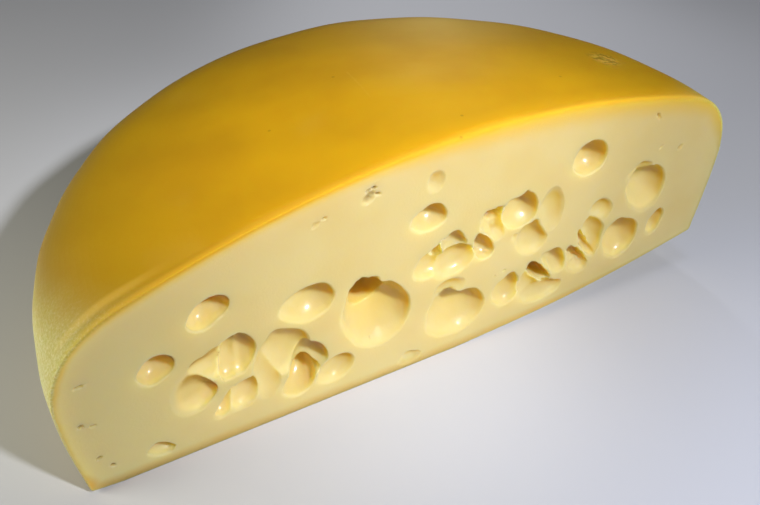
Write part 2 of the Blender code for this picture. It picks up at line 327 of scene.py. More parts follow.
# %% Eyes with a rim of their own
# The depth, the belly, how far the deepest point lies along and up from the middle of the rim,
# then the rim's points as along and up, in millimetres.
DRAWN_EYES = {
    "left_high": (11.5, 0.3, (1, 0), ((-131, 102), (-125, 103), (-120.5, 100.5), (-119, 97.5),
        (-119.5, 93.5), (-122, 90), (-126, 87.5), (-134, 84.5), (-138, 87), (-139.5, 91),
        (-138.5, 95), (-135.5, 99))),
    "left_middle": (11.0, 0.35, (1, 0), ((-160, 76.5), (-154, 78), (-150, 76), (-147.3, 72),
        (-147.5, 67.5), (-150, 64), (-154, 61.5), (-158, 60), (-162, 62), (-164.5, 66),
        (-164.5, 70.5), (-162.5, 74))),
    "left_low": (6.0, 0.4, (1, 1), ((-163, 17), (-160.5, 18.7), (-157, 17.5), (-153.5, 14.5),
        (-151.7, 11), (-153, 9), (-158, 8.5), (-163, 10.5), (-165, 14))),
    "left_pair_lower": (5.8, -0.6, (8, -4), ((-151, 46), (-151, 39), (-147.5, 33.5), (-141, 30),
        (-136, 31), (-131, 35), (-128, 40), (-127.7, 44), (-130, 48), (-134, 52), (-138.5, 56.5),
        (-142, 60), (-147, 57), (-150, 52))),
    "left_pair_shelf": (6.5, -0.1, (2, -2), ((-142, 60), (-139, 65), (-133, 67.5), (-126, 70.5),
        (-121, 70), (-120, 62), (-123, 53), (-127, 48), (-132, 49), (-138, 54.5))),
    "left_pair_left": (10.0, 0.1, (0, 0), ((-125, 70), (-121, 73), (-117, 74), (-114, 72),
        (-112, 65), (-112.5, 57), (-115, 48), (-120, 45), (-124.5, 46), (-125, 52), (-123, 60),
        (-123.5, 66))),
    "left_pair_right": (8.5, 0.1, (0, 1), ((-117, 73.8), (-113, 73), (-110, 70), (-108, 66.5),
        (-106.5, 62), (-107, 56), (-110, 50), (-114, 46), (-119, 49), (-118, 57), (-117, 66))),
    "twin_left": (8.0, 0.1, (1, 0), ((-129.5, 22), (-127, 19), (-123, 20), (-119.5, 25),
        (-118, 31), (-116.5, 36), (-119.5, 38.5), (-122, 36), (-125, 31), (-128, 26.5))),
    "twin_right": (7.0, -0.05, (1, 1), ((-118, 38), (-114, 40), (-110, 40), (-107, 37),
        (-105.5, 32), (-106, 26), (-109, 22), (-114, 20), (-119.5, 21), (-121.5, 25), (-121, 31))),
    "cluster_top": (8.0, -0.25, (0, -2), ((-106, 55), (-101.5, 62), (-99, 66), (-96, 67.5),
        (-91, 66), (-86, 63.8), (-82, 61), (-79, 57), (-77, 52), (-76, 46), (-80, 40), (-88, 34),
        (-97, 36), (-104, 45))),
    "cluster_left": (5.5, -0.4, (0.5, 7), ((-107, 52), (-103, 57), (-98, 54), (-96, 46), (-94, 36),
        (-94, 26), (-98, 20), (-103, 21), (-107, 32), (-108.5, 44))),
    "cluster_right": (9.5, -0.15, (4, 3), ((-84, 47), (-80, 50), (-76.5, 50), (-72.5, 47.5),
        (-69, 43), (-66.7, 37), (-66.5, 32), (-69, 28), (-75, 25), (-83, 23), (-87, 26),
        (-88.5, 34), (-87, 42))),
    "cluster_deep": (19.0, 0.2, (5, 3), ((-91.5, 18), (-91.5, 25), (-88.5, 30), (-84.5, 32.7),
        (-80.5, 33.6), (-77.5, 32), (-74.5, 29), (-71.5, 27.5), (-70.2, 25.6), (-73, 23.5),
        (-74.2, 19), (-77, 15.5), (-81, 13.5), (-86, 13.6))),
    "cluster_tail": (6.5, -0.3, (1, 0), ((-72, 22), (-70, 27), (-66, 30.5), (-60, 32.5),
        (-54.5, 31), (-50.8, 26.5), (-51, 20), (-55, 15.5), (-61, 13), (-68, 14), (-72, 17))),
    "middle_high": (11.0, -0.25, (2, 0), ((-87, 86.5), (-80, 89), (-74, 88.5), (-68, 86),
        (-65, 81.5), (-63.7, 77), (-66, 71), (-71, 67), (-78, 65.5), (-85, 67.5), (-91, 72),
        (-94, 77), (-92.5, 82))),
    "great": (15.0, -0.42, (3, -1), ((-37.5, 75), (-32, 73), (-27, 68.5), (-23, 63.5), (-19.5, 58),
        (-17.8, 51), (-18.3, 43), (-21, 36.5), (-26, 32), (-33, 28.5), (-40, 29), (-47, 33),
        (-53, 40), (-57, 48), (-59, 57), (-58.5, 66), (-56.8, 73), (-55.5, 77), (-53.5, 79),
        (-53, 81), (-51, 81.4), (-49.5, 82.6), (-47.5, 81.8), (-46, 80.3), (-43.5, 80.4),
        (-41, 79.7), (-39.6, 79.3))),
    "wide": (12.0, -0.4, (3, 0), ((-6, 35), (-4.5, 42), (-3, 46), (-0.5, 46.4), (1, 47.8),
        (3, 48.3), (3.8, 50.2), (5, 49), (7, 48.8), (9.3, 49.2), (10, 47.5), (11.5, 47.2),
        (12.5, 46), (16, 45.9), (20, 45.5), (25, 43.5), (29, 39.5), (32, 34), (33, 28), (31, 22),
        (26, 17), (18, 14), (8, 14.5), (0, 18), (-5, 25))),
    "wide_rim": (3.0, -0.6, (0, 0), ((-4, 50), (-1, 56), (3, 58.2), (8, 58.3), (13, 56.5),
        (17, 53.5), (14, 46), (4, 43), (-3, 45))),
    "bottom_slit": (2.6, -0.4, (0, 1.5), ((-20, 10.5), (-17, 12.8), (-12, 11.8), (-8, 9.5),
        (-6.5, 7.5), (-9, 4.5), (-14, 3.5), (-19, 5), (-21.5, 7.5))),
    "top_round": (10.0, 0.0, (1, 0), ((-17, 113), (-12, 115), (-7, 113.8), (-3.5, 110),
        (-1.5, 105.5), (-2.5, 101.5), (-6, 99.5), (-12, 98.5), (-18, 100), (-22, 104),
        (-22.5, 108), (-20.5, 111))),
    "nest_left": (7.0, 0.0, (1, 0), ((-8, 83), (-13, 82), (-17, 76), (-17.5, 70), (-13, 66),
        (-6, 65), (-0.5, 67.5), (-1.5, 75), (-5, 80))),
    "nest_slit": (11.0, 0.15, (0, 0), ((-8.5, 83.5), (-5, 86), (-2, 89), (-0.5, 88), (-1.5, 82),
        (-1, 76.5), (-3, 73), (-4.8, 74), (-5.5, 79))),
    "nest_upper": (6.5, 0.0, (0.5, 0), ((-1, 88), (2, 91.3), (6, 92), (9.5, 89), (12, 85),
        (14, 81), (10, 77), (4, 76), (0, 79), (-1.5, 84))),
    "nest_lower": (7.0, -0.35, (1, 0), ((-4.5, 75), (2, 79), (8, 79.5), (14, 79.5), (19, 76),
        (20.5, 70), (17, 64), (9, 60.5), (-1, 61.5), (-6.5, 67))),
    "nest_right": (9.0, 0.2, (0, 0), ((20.5, 84), (25, 81), (29, 77.5), (32, 72.5), (33, 68),
        (30, 64.5), (25, 65), (21.5, 70), (19.5, 76), (19, 81))),
    "ridge_upper": (10.5, -0.05, (2, 0), ((38, 100), (43, 100.5), (47, 101.6), (49, 103.2),
        (50, 101.8), (54, 99.3), (57, 94.5), (58.7, 88.5), (58, 83.5), (55, 80), (49, 78.5),
        (42, 80), (37, 84), (35.5, 91))),
    "ridge_lower": (7.0, -0.3, (1, 0), ((51, 77.5), (56, 78.5), (60, 80), (63.5, 74.5), (67.5, 69),
        (70.5, 63.5), (68, 57.5), (62, 55), (56, 56.5), (51, 61.5), (48, 67.5), (48.5, 73))),
    "ridge_nick": (1.8, 0.0, (0, 0), ((44, 73.5), (48, 74), (49.5, 71.5), (47, 69.5), (44.5, 71))),
    "ridge_dish": (3.2, -0.5, (1, 0), ((60.5, 92), (62.5, 97), (66.5, 99.5), (71, 98), (75, 92),
        (77.5, 84), (77.8, 76), (75.5, 69), (71, 67), (66, 72), (62, 80))),
    "right_broad": (9.0, -0.3, (2, 1), ((124, 83), (128, 88), (131, 90.5), (132.5, 89),
        (135, 89.8), (137, 88.8), (139.5, 89.8), (143, 90), (147, 88), (151, 84), (154, 77),
        (155, 69), (153, 61), (147, 56.5), (140, 57), (133, 62), (127, 70), (123.5, 77))),
    "right_rim": (3.2, -0.5, (0, 0), ((121, 87), (124, 91.5), (128, 94.5), (132, 95.7),
        (136, 94.5), (140, 92), (141, 87), (130, 82))),
    "right_dish": (4.0, -0.45, (0.5, 0.5), ((98.5, 72), (100.5, 76), (105, 78), (110, 76.8),
        (114, 73.5), (116.5, 69), (116, 63.5), (112, 60), (106, 61), (101, 66))),
    "fan_upper": (5.0, -0.1, (0, 1), ((99, 67), (104, 65), (109, 61.5), (113, 57), (114, 48),
        (113.5, 38), (111, 34), (106, 42), (100.5, 51), (96, 60))),
    "fan_trench": (7.5, 0.0, (0, 0), ((94, 60), (96.5, 58.5), (101, 51), (106, 44), (112, 36),
        (112, 33), (107, 36), (101, 43), (96.5, 51), (94, 57))),
    "fan_slit": (8.0, 0.1, (0, 0), ((88.5, 47), (90.5, 49.5), (94, 46.5), (99, 42), (104, 37),
        (105, 34.5), (100, 36.5), (94, 41), (89.5, 44.5))),
    "right_round": (11.0, -0.05, (1, 0), ((117.5, 52.5), (121, 55.3), (125, 57), (131, 55),
        (136.5, 52.5), (140.5, 49), (143, 42), (142.5, 34), (139, 28), (131, 24.5), (124, 28),
        (118.5, 36), (116, 45))),
    "right_small": (6.5, 0.0, (0.5, 0), ((154.5, 51), (158, 53), (161.2, 51), (163, 46.5),
        (162, 41), (158, 34), (153.5, 35), (151, 42), (152, 48))),
    "low_upper": (7.5, 0.0, (1, 0), ((70, 50.5), (75, 51.5), (80, 51.8), (84.5, 48.5), (87.5, 43),
        (89.5, 36), (88, 31.5), (83, 32), (77, 38), (71, 45))),
    "low_deep": (15.0, 0.3, (0, 0), ((60.5, 45), (62, 48), (65, 47), (69, 43.5), (74, 38),
        (78.5, 32), (80.5, 29), (76.5, 28.5), (71, 31), (65, 37), (61, 42))),
    "low_left": (5.5, -0.05, (0, 0), ((58, 41), (62.5, 43), (66, 37), (70, 31), (73, 26), (67, 20),
        (60, 21), (57, 28), (56.5, 35))),
    "low_floor": (5.0, -0.15, (1, 0), ((60, 29), (70, 27.5), (78, 29), (84, 25.5), (89, 23),
        (89, 18), (82, 14.5), (73, 13.5), (64, 16), (57.5, 21))),
    "middle_low": (8.0, 0.0, (1.5, 0), ((44, 42.5), (49.5, 45.5), (53.5, 42), (56, 36), (57, 29),
        (54, 23.5), (49.5, 21), (43.5, 23), (39, 28), (37.5, 34), (39.5, 39.5))),
}

# %% Torn eyes
# Drawn like the last ones, but the paste crumbled here, so their walls are rough.
TORN_EYES = {
    "nest_top": (6.5, -0.05, (0, 0), ((24.5, 98.5), (27, 97.6), (31, 98.2), (34.5, 97.5), (36, 93),
        (37.5, 85), (38, 78), (34, 75), (29, 79), (24, 83), (21, 88), (21.5, 94))),
    "nest_top_deep": (13.0, 0.2, (1, 0), ((26.5, 96.5), (31, 96), (34.5, 92), (34, 87), (30.5, 85),
        (27.5, 88), (26, 92))),
    "fan_crack": (9.0, 0.1, (0, 0), ((88, 47.5), (91, 48.3), (94.5, 45.5), (99, 41), (103.5, 36.5),
        (107, 32), (108.5, 29), (105.5, 30), (101, 34), (96.5, 38), (92, 42), (89, 44.5))),
    "fan_lower": (5.5, -0.15, (2, 2), ((90, 43), (94, 41), (99, 37), (104, 32), (107.5, 29),
        (106, 24.5), (99, 25), (93, 29), (90, 36))),
}

# %% Bubbles behind the walls
# A bubble that opens into another eye rather than to the cut face. Its belly is above 1,
# because its middle lies further behind the face than half its own depth. The other measures
# are those of the plain eyes, with half its own length and width.
INNER_EYES = {
    "great_pocket": (-39.2, 62.0, 12.8, 11.2, 35, 25.0, 16.0 / 9.0),
}
print(len(PLAIN_EYES) + len(DRAWN_EYES) + len(TORN_EYES) + len(INNER_EYES), "eyes in all")

# %% [markdown]
# ## From rims to bubbles
#
# Each bubble starts as a sphere. Every direction across it is stretched to the reach of the
# rim in that direction, so the bubble meets the cut face in just the drawn outline. Its walls
# then swell a little, because a real eye is never a clean ellipsoid, and a torn one is rough.

# %% How far a rim reaches in each direction
def oval_reach(half_length, half_width, lean):
    """An oval's reach from its middle at an angle."""
    def reach(angle):
        turned = angle - math.radians(lean)
        return 1.0 / math.hypot(math.cos(turned) / half_length,
                                math.sin(turned) / half_width)
    return reach


def drawn_reach(rim, middle):
    """A drawn rim's reach, curving smoothly from point to point."""
    spokes = sorted((math.atan2(up - middle[1], along - middle[0]),
                     math.dist((along, up), middle)) for along, up in rim)
    before = [(angle - math.tau, length) for angle, length in spokes[-2:]]
    after = [(angle + math.tau, length) for angle, length in spokes[:2]]
    spokes = before + spokes + after

    def slope(number):
        (low, short), (high, long) = spokes[number - 1], spokes[number + 1]
        return (long - short) / (high - low)

    def reach(angle):
        number = max(n for n in range(1, len(spokes) - 2) if spokes[n][0] <= angle)
        (low, start), (high, end) = spokes[number], spokes[number + 1]
        width = high - low
        part = (angle - low) / width
        rest = 1.0 - part
        return (start * (1.0 + 2.0 * part) * rest ** 2 + end * (3.0 - 2.0 * part) * part ** 2
                + width * slope(number) * part * rest ** 2
                - width * slope(number + 1) * part ** 2 * rest)
    return reach


print("an oval reaches", round(oval_reach(12.0, 8.0, 0.0)(0.0), 1), "mm along its length")

# %% Make the bubbles
SMOOTH_WALL = (9.0, 0.45) # how far apart the swells of a wall are, and how high, in mm
TEAR_WALL = (1.3, 0.5)
TORN_WALL = (2.0, 1.0)
BUBBLE_FINENESS = 5       # subdivisions of the sphere a bubble starts from


def bubble(middle, reach_at, depth, belly, pull, wall, number):
    """A bubble whose middle lies belly times half its depth behind the cut face."""
    half_depth = depth / (1.0 + belly)
    swell = 1.0 / math.sqrt(1.0 - belly * belly) if abs(belly) < 1.0 else 1.0
    shape = bmesh.new()
    bmesh.ops.create_icosphere(shape, subdivisions=BUBBLE_FINENESS, radius=1.0)
    for corner in shape.verts:
        angle = math.atan2(corner.co.z, corner.co.x)
        out = math.hypot(corner.co.x, corner.co.z) * swell * reach_at(angle)
        behind = half_depth * (belly + corner.co.y)
        drift = max(0.0, behind) / (half_depth * (1.0 + belly))
        corner.co = Vector((AXIS_X + middle[0] + math.cos(angle) * out + pull[0] * drift,
                            CUT_Y + behind,
                            middle[1] + math.sin(angle) * out + pull[1] * drift)) * MM
    shape.normal_update()
    swell_size, swell_height = (size * MM for size in wall)
    for corner in shape.verts:
        push = noise.noise(corner.co / swell_size + Vector((7.0 * number, 0.0, 0.0)))
        corner.co += corner.normal * push * swell_height
    return shape


def oval_eyes(eyes, wall):
    """What a bubble needs to know, for each eye given by its measures."""
    return [((along, up), oval_reach(half_length, half_width, lean), depth, belly, (0.0, 0.0),
             wall) for along, up, half_length, half_width, lean, depth, belly in eyes.values()]


def drawn_eyes(eyes, wall):
    """What a bubble needs to know, for each eye with a rim of its own."""
    found = []
    for depth, belly, pull, rim in eyes.values():
        middle = [sum(values) / len(rim) for values in zip(*rim)]
        found.append((middle, drawn_reach(rim, middle), depth, belly, pull, wall))
    return found


def make_bubbles():
    """All the bubbles, in a collection of their own."""
    bubbles = bpy.data.collections.new("bubbles")
    bpy.context.scene.collection.children.link(bubbles)
    eyes = (oval_eyes(PLAIN_EYES, SMOOTH_WALL) + oval_eyes(TEARS, TEAR_WALL)
            + drawn_eyes(DRAWN_EYES, SMOOTH_WALL) + drawn_eyes(TORN_EYES, TORN_WALL)
            + oval_eyes(INNER_EYES, SMOOTH_WALL))
    for number, eye in enumerate(eyes):
        thing = as_object(bubble(*eye, number), "bubble_%d" % number)
        bpy.context.scene.collection.objects.unlink(thing)
        bubbles.objects.link(thing)
    return bubbles


bubbles = make_bubbles()

# %% [markdown]
# ## Opening the eyes
#
# One Boolean takes all the bubbles out of the half wheel at once. The bubbles are only
# tools, so they go away afterwards.

# %% Take the bubbles out
def modify(thing, kind, **settings):
    """Let a modifier rework an object's mesh for good."""
    modifier = thing.modifiers.new(kind, kind)
    for setting, value in settings.items():
        setattr(modifier, setting, value)
    bpy.context.view_layer.update()
    ready = thing.evaluated_get(bpy.context.evaluated_depsgraph_get())
    mesh = bpy.data.meshes.new_from_object(ready)
    thing.modifiers.clear()
    thing.data = mesh


def open_eyes(thing, cutters):
    """Take the bubbles out of the cheese and throw them away."""
    modify(thing, "BOOLEAN", operation="DIFFERENCE", operand_type="COLLECTION",
           collection=cutters, solver="MANIFOLD")
    for cutter in list(cutters.objects):
        bpy.data.objects.remove(cutter, do_unlink=True)
    bpy.data.collections.remove(cutters)


open_eyes(cheese, bubbles)
print("opened:", len(cheese.data.polygons), "faces")

# %% [markdown]
# ## Softening
#
# A Boolean leaves knife-sharp rims, but the rim of a real eye is soft: the paste is elastic
# and gives a little under the saw. Remeshing the whole piece in voxels of about half a
# millimetre and smoothing it once rounds every edge by the same small amount. It also gives
# even, fine faces everywhere, which the next steps can push about.

# %% Remesh in small voxels
VOXEL = 0.55 * MM
SMOOTHING = 0.5           # how far one round of smoothing moves a vertex
RIM_SMOOTHING = 1

modify(cheese, "REMESH", mode="VOXEL", voxel_size=VOXEL)
modify(cheese, "SMOOTH", factor=SMOOTHING, iterations=RIM_SMOOTHING)
print("softened:", len(cheese.data.polygons), "faces")

# %% [markdown]
# ## Measuring the piece
#
# The next steps act only in some places: near the rims, under the dome, on the roofs of the
# eyes. So they need every vertex's place and normal at once, and how deep it lies under the
# dome. Whole arrays do that in a moment, where a loop over a million vertices would not.

# %% Places, normals and the depth under the dome
def soft_step(value, low, high):
    """0 at low, 1 at high and soft in between, for a whole array."""
    part = np.clip((value - low) / (high - low), 0.0, 1.0)
    return part * part * (3.0 - 2.0 * part)


def read_corners(mesh):
    """A mesh's vertices and their normals as two arrays, the vertices in millimetres."""
    places = np.empty(len(mesh.vertices) * 3)
    normals = np.empty(len(mesh.vertices) * 3)
    mesh.vertices.foreach_get("co", places)
    mesh.vertex_normals.foreach_get("vector", normals)
    return places.reshape(-1, 3) / MM, normals.reshape(-1, 3)


def under_dome(places):
    """Millimetres that points lie under the dome."""
    points = np.vstack((places.T * MM, np.ones(len(places))))
    across, along, height = (np.array(LIE_DOWN.inverted()) @ points)[:3] / MM
    dome = np.array([(point.x, point.z) for point in wheel_outline(OUTLINE_FINENESS)[0]])
    return np.interp(np.hypot(across, along), *dome.T) - height


def from_tears(x, z):
    """Millimetres that points lie outside the nearest small tear, seen from the front."""
    return np.minimum.reduce([
        np.hypot(x - AXIS_X - along, z - up) - half_length
        for along, up, half_length, *_ in TEARS.values()])


print("deepest under the dome:",
      round(float(under_dome(read_corners(cheese.data)[0]).max())), "mm")

# %% [markdown]
# ## Rims that melt into the face
#
# In the photograph the upper right rim of an eye is crisp, but its lower left rim melts into
# the cut face, and so do the ridges between eyes and the upper cut edge at the right. Those
# places are marked in a vertex group, by which way the wall faces, and smoothed many times
# over. The marks are spread on a grid over the cut face, so that the face outside each rim
# is rounded along with the wall inside it. The small tears stay sharp.

# %% Round the lower left rims, the ridges and the upper edge
SPAN = 210.0                  # millimetres that the rounding grid covers to each side
CELL = 0.5
ROUNDING_SPREAD = 12          # how many times the marks spread by a cell
ROUNDING_STEPS = 45
ROUNDING_GAIN = 2.5
LOW_RIM_FACING = (0.45, 0.0, 0.9)
LOW_RIM_SLOPE = 0.3
LOW_RIM_BEHIND = (0.6, 2.5)   # where the walls are marked, behind the cut face
LOW_RIM_REACH = (3.0, 8.0)    # where the rounding ends
RIND_BAND = 6.0               # under the dome, where there are no eyes
RIDGE_ROUNDING = 0.35
RIDGE_BEHIND = (0.8, 2.5)
EDGE_BEHIND = (2.0, 8.0)
EDGE_ALONG = (-90.0, 0.0)     # the upper cut edge is softer to the right of here
EDGE_HEIGHT = 60.0
MELTED = (-139.0, 54.0)       # along and up, where two eyes at the left melt into each other
MELTED_REACH = (7.0, 15.0)
CRISP_TEARS = (0.0, 2.0)
GROUP_STEPS = 10              # shares that the vertex group tells apart


def near_low_rims(x, behind, z, normals, inner):
    """How near each vertex is to a wall that faces up or right, from 0 to 1."""
    near, far = LOW_RIM_BEHIND
    slope = normals @ np.array(LOW_RIM_FACING)
    wall = (behind > near) & (behind < far) & (slope > LOW_RIM_SLOPE) & inner
    column = ((x + SPAN) / CELL).astype(int)
    row = (z / CELL).astype(int)
    marks = np.zeros((int(2 * SPAN / CELL), int(SPAN / CELL)))
    marks[column[wall], row[wall]] = 1.0
    for axis in (0, 1) * ROUNDING_SPREAD:
        marks = (marks + np.roll(marks, 1, axis) + np.roll(marks, -1, axis)) / 3.0
    spread = np.clip(marks[column, row] * ROUNDING_GAIN, 0.0, 1.0)
    return spread * (1.0 - soft_step(behind, *LOW_RIM_REACH))


def round_rims(thing):
    """Smooth the piece where its rims and ridges are soft."""
    places, normals = read_corners(thing.data)
    x, y, z = places.T
    behind = y - CUT_Y
    inner = under_dome(places) > RIND_BAND
    ridges = RIDGE_ROUNDING * soft_step(behind, *RIDGE_BEHIND) * inner
    edge = (1.0 - soft_step(behind, *EDGE_BEHIND)) * ~inner
    edge = edge * soft_step(x, *EDGE_ALONG) * (z > EDGE_HEIGHT)
    from_melted = np.hypot(x - AXIS_X - MELTED[0], z - MELTED[1])
    melted = (1.0 - soft_step(from_melted, *MELTED_REACH)) * inner
    low = near_low_rims(x, behind, z, normals, inner)
    share = np.maximum.reduce((low, ridges, edge, melted))
    share *= soft_step(from_tears(x, z), *CRISP_TEARS)
    group = thing.vertex_groups.new(name="soft_rims")
    steps = np.round(share * GROUP_STEPS).astype(int)
    for step in range(1, GROUP_STEPS + 1):
        group.add(np.flatnonzero(steps == step).tolist(), step / GROUP_STEPS, "REPLACE")
    modify(thing, "SMOOTH", vertex_group=group.name, factor=SMOOTHING,
           iterations=ROUNDING_STEPS)
    thing.vertex_groups.clear()
    return np.count_nonzero(steps)


print("rounded", round_rims(cheese), "vertices")

# %% [markdown]
# ## Weathering
#
# A cheese ripens on a shelf and is turned by hand, so its rind isn't true. Long low swells
# run over it, a few tenths of a millimetre high. At the left end the rind has sunk in a
# fold beside the cut, where the drying paste pulls at it.

# %% Swell the surfaces and fold the rind
FOLD_BEHIND = 5.2         # millimetres from the cut face to the fold's bottom
FOLD_WIDTH = 2.3
FOLD_HEIGHT = 0.45
FOLD_ALONG = (-172.0, -138.0)
FOLD_UP = (98.0, 112.0)
FOLD_FACING = (0.6, 0.8)  # how much the rind faces up
FOLD_NEAR_CUT = (0.0, 3.0)
FLAT_NEAR_GROUND = (0.5, 12.0)
FLAT_NEAR_CUT = (0.0, 6.0)
SWELLS = ((71.0, 23.0, 0.0), (-31.0, 67.0, 1.9), (113.0, -59.0, 4.1), (47.0, 97.0, 5.3))
SWELL_HEIGHT = 0.16


def weather(thing):
    """Let the surfaces swell a little and fold the rind at the left."""
    places, normals = read_corners(thing.data)
    x, y, z = places.T
    behind = y - CUT_Y
    push = sum(SWELL_HEIGHT * np.sin((x / along + (y + z) / across) * math.pi + start)
               for along, across, start in SWELLS)
    push *= soft_step(z, *FLAT_NEAR_GROUND) * soft_step(behind, *FLAT_NEAR_CUT)
    fold = np.exp(-((behind - FOLD_BEHIND) / FOLD_WIDTH) ** 2)
    fold *= (1.0 - soft_step(x, *FOLD_ALONG)) * soft_step(normals[:, 2], *FOLD_FACING)
    fold *= soft_step(z, *FOLD_UP) * soft_step(behind, *FOLD_NEAR_CUT)
    places += normals * (push - FOLD_HEIGHT * fold)[:, None]
    thing.data.vertices.foreach_set("co", (places * MM).ravel())
    return push.max()


print("highest swell:", round(float(weather(cheese)), 2), "mm")

# %% [markdown]
# ## Thinning and marking
#
# Decimation thins the large plain surfaces and leaves the eyes their fine faces. Weighting
# each vertex normal by face area keeps the thinned flats flat when they are shaded smooth.
# Two marks then go with the mesh for the material: how much a vertex belongs to the roof of
# an eye, and how much to a small tear. The material paints shade into both.

# %% Thin the mesh and mark roofs and tears
TRIANGLE_BUDGET = 190000
FLATTENING = 80           # how strongly large faces set their corners' normals
ROOF_FACING = (-0.3, 0.0, -0.95)
ROOF_SLOPE = (-0.4, 0.6)
ROOF_BEHIND = (0.3, 2.0)
ROOF_UNDER = 2.0
PIT_REACH = (0.0, 0.5)
PIT_STARTS = (0.2, 1.4)
PIT_ENDS = (3.0, 5.0)


def triangle_count(mesh):
    """How many triangles a mesh makes."""
    return sum(len(face.vertices) - 2 for face in mesh.polygons)


def thin(thing):
    """Bring the piece under its triangle budget."""
    ratio = min(1.0, TRIANGLE_BUDGET / triangle_count(thing.data))
    modify(thing, "DECIMATE", ratio=ratio, use_collapse_triangulate=True)


def mark_eyes(thing):
    """Note on each vertex how much it belongs to an eye's roof and to a small tear, the places
    that the material paints with shade.
    """
    places, normals = read_corners(thing.data)
    x, y, z = places.T
    behind = y - CUT_Y
    roof = soft_step(normals @ np.array(ROOF_FACING), *ROOF_SLOPE)
    roof *= soft_step(behind, *ROOF_BEHIND) * (under_dome(places) > ROOF_UNDER)
    pit = 1.0 - soft_step(from_tears(x, z), *PIT_REACH)
    pit *= soft_step(behind, *PIT_STARTS) * (1.0 - soft_step(behind, *PIT_ENDS))
    for name, values in (("roof", roof), ("pit", pit)):
        marks = thing.data.attributes.new(name, "FLOAT", "POINT")
        marks.data.foreach_set("value", values)


thin(cheese)
mark_eyes(cheese)
cheese.data.shade_smooth()
flatter = cheese.modifiers.new("flatter", "WEIGHTED_NORMAL")
flatter.mode = "FACE_AREA"
flatter.weight = FLATTENING
print("thinned:", triangle_count(cheese.data), "triangles")

# %% [markdown]
# ## Shader sums
#
# The materials are worked out from measures, such as how deep a point lies under the rind.
# Written node by node that would fill pages, so one small class lets a node's output be
# added, multiplied and compared like a number. Rind and paste are one material, so all the
# nodes go into one tree.

# %% A node output that can be used in sums
material = bpy.data.materials.new("cheese")
material.use_nodes = True
TREE = material.node_tree
TREE.nodes.clear()


class Signal:
    """A node's output. Sums with it add Math nodes to the tree."""

    def __init__(self, socket):
        self.socket = socket

    def sum_of(self, operation, first, second):
        return add_node("ShaderNodeMath", {"operation": operation}, {0: first, 1: second})

    def __add__(self, other):
        return self.sum_of("ADD", self, other)

    def __radd__(self, other):
        return self.sum_of("ADD", other, self)

    def __sub__(self, other):
        return self.sum_of("SUBTRACT", self, other)

    def __rsub__(self, other):
        return self.sum_of("SUBTRACT", other, self)

    def __mul__(self, other):
        return self.sum_of("MULTIPLY", self, other)

    def __rmul__(self, other):
        return self.sum_of("MULTIPLY", other, self)

    def __truediv__(self, other):
        return self.sum_of("DIVIDE", self, other)

    def __pow__(self, other):
        return self.sum_of("POWER", self, other)

    def __abs__(self):
        return self.sum_of("ABSOLUTE", self, 0.0)

    def lower(self, other):
        """The smaller of two signals."""
        return self.sum_of("MINIMUM", self, other)

    def higher(self, other):
        """The larger of two signals."""
        return self.sum_of("MAXIMUM", self, other)


def set_points(curve, points):
    """Give a Float Curve node its points, straight between them."""
    line = curve.mapping.curves[0]
    line.points[0].location = points[0]
    line.points[1].location = points[-1]
    for point in points[1:-1]:
        line.points.new(*point)
    for point in line.points:
        point.handle_type = "VECTOR"
    curve.mapping.update()


def add_node(kind, settings=None, sockets=None, output=0):
    """Add a node, set it up, link or fill its sockets, and return one output."""
    made = TREE.nodes.new(kind)
    for name, value in (settings or {}).items():
        if name == "points":
            set_points(made, value)
        else:
            setattr(made, name, value)
    for key, value in (sockets or {}).items():
        if isinstance(value, Signal):
            TREE.links.new(value.socket, made.inputs[key])
        else:
            made.inputs[key].default_value = value
    return Signal(made.outputs[output])


print("shader sums ready")

# %% Small tools that most materials need
def fade(value, low, high):
    """0 at low, 1 at high and soft in between."""
    return add_node("ShaderNodeMapRange", {"interpolation_type": "SMOOTHSTEP"},
                    {"Value": value, "From Min": low, "From Max": high})


def fall(value, low, high):
    """1 at low, 0 at high and soft in between."""
    return 1.0 - fade(value, low, high)


def cloud(place, size, detail=3.0, roughness=0.55):
    """Noise from 0 to 1 whose lumps are about size millimetres across."""
    return add_node("ShaderNodeTexNoise", {},
                    {"Vector": place, "Scale": 1.0 / (size * MM), "Detail": detail,
                     "Roughness": roughness}, "Fac")


def split(place):
    """A position's three parts, in millimetres."""
    scaled = add_node("ShaderNodeVectorMath", {"operation": "SCALE"},
                      {0: place, "Scale": 1.0 / MM})
    parts = add_node("ShaderNodeSeparateXYZ", {}, {"Vector": scaled})
    return [Signal(socket) for socket in parts.socket.node.outputs]


def layers(base, *coats):
    """Lay colours over a base, one after another, each as thick as its factor says."""
    for factor, coat in coats:
        base = add_node("ShaderNodeMix", {"data_type": "RGBA"},
                        {0: factor, 6: base, 7: coat}, 2)
    return base


def colour(red, green, blue):
    """A colour given as the 0 to 255 numbers a picture shows, in the scene's linear light."""
    def linear(part):
        part /= 255.0
        return part / 12.92 if part <= 0.04045 else ((part + 0.055) / 1.055) ** 2.4
    return (linear(red), linear(green), linear(blue), 1.0)


print("middle grey is", round(colour(128, 128, 128)[0], 2), "in linear light")

# %% [markdown]
# ## How deep under the rind
#
# The paste turns yellow towards the rind, over the last centimetre. So the material needs
# each point's depth under the wheel's own outline. Two curves hold that outline: the
# height of the dome at each radius, and the radius of the side at each height. The
# material turns the object's coordinates back into the wheel's, reads both curves and
# keeps the smallest distance.

# %% Depth under the rind, in millimetres
CURVE_SPAN = 210.0            # millimetres that a curve's 0 to 1 stands for
SIDE_TO_DOME = (70.0, 105.0)  # heights between which the side gives way to the dome


def outline_curve(points):
    """Outline points as a curve's points, in parts of the span."""
    return [(first / CURVE_SPAN, second / CURVE_SPAN) for first, second in points]


